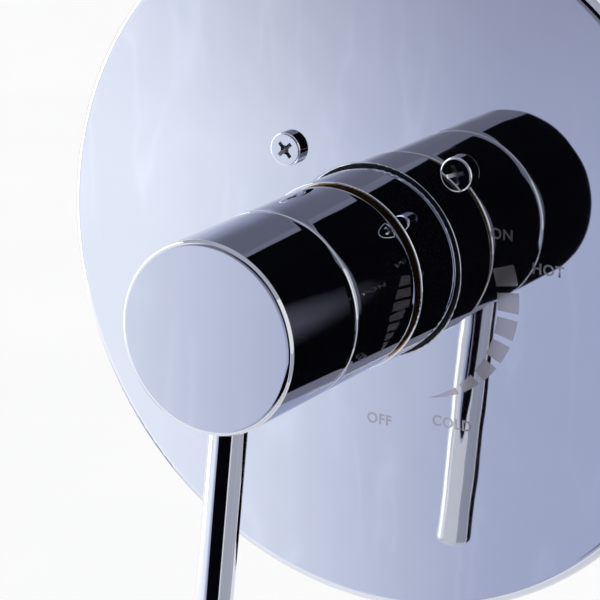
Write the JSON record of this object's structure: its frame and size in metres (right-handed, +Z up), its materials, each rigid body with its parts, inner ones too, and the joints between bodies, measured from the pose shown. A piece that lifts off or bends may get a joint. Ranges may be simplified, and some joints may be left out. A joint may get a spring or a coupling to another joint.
{
  "type": "pressure balanced shower mixer",
  "caption": "Concealed shower mixer with a round polished wall plate, a round lever handle on a collar, and a cast body that holds a pressure balancing cartridge.",
  "frame": {"origin": "on the handle axis, at the face of the finished wall, which is the back of the plate's rim", "axes": "+Y into the wall along the handle axis, +Z up, +X to the right as seen from the room"},
  "size_m": [0.178, 0.1545, 0.1838],
  "materials": {
    "plate_chrome": "mirror polished plate with a very slight waviness",
    "handle_chrome": "mirror polished",
    "screw_chrome": "polished",
    "cast_brass": "as cast, machined at threads and faces",
    "turned_brass": "turned",
    "stainless": "turned and ground",
    "cartridge_plastic": "moulded",
    "stop_plastic": "moulded",
    "slip_plastic": "smooth",
    "disc_ceramic": "lapped",
    "black_rubber": "moulded",
    "gasket_foam": "closed cell foam"
  },
  "bodies": {
    "valve": {"escutcheon_plate": "plate_chrome", "trim_collar": "handle_chrome", "plate_screws": "screw_chrome", "valve_body": "cast_brass", "bonnet_nut": "turned_brass", "balance_sleeve": "stainless", "cartridge_shell": "cartridge_plastic", "balance_housing": "cartridge_plastic", "sleeve_plugs": "cartridge_plastic", "limit_ring": "stop_plastic", "thrust_washer": "slip_plastic", "fixed_disc": "disc_ceramic", "collar_gasket": "black_rubber", "collar_o_ring": "black_rubber", "disc_seal": "black_rubber", "cartridge_o_ring": "black_rubber", "sleeve_o_rings": "black_rubber", "port_seals": "black_rubber", "plate_gasket": "gasket_foam"},
    "handle": {"handle_skirt": "handle_chrome", "handle_head": "handle_chrome", "lever_rod": "handle_chrome", "handle_screw": "stainless", "handle_washer": "stainless", "stem": "turned_brass", "stem_o_ring": "black_rubber", "stop_collar": "stop_plastic", "moving_disc": "disc_ceramic"},
    "spool": {"balance_spool": "stainless"}
  },
  "joints": [
    {"name": "handle_turn", "type": "hinge", "parent": "valve", "child": "handle", "pos_m": [0, 0, 0], "axis": [0, -1, 0], "range_deg": [0, 110]},
    {"name": "spool_slide", "type": "slide", "parent": "valve", "child": "spool", "axis": [1, 0, 0], "range_m": [-0.0023, 0.0023]}
  ]
}
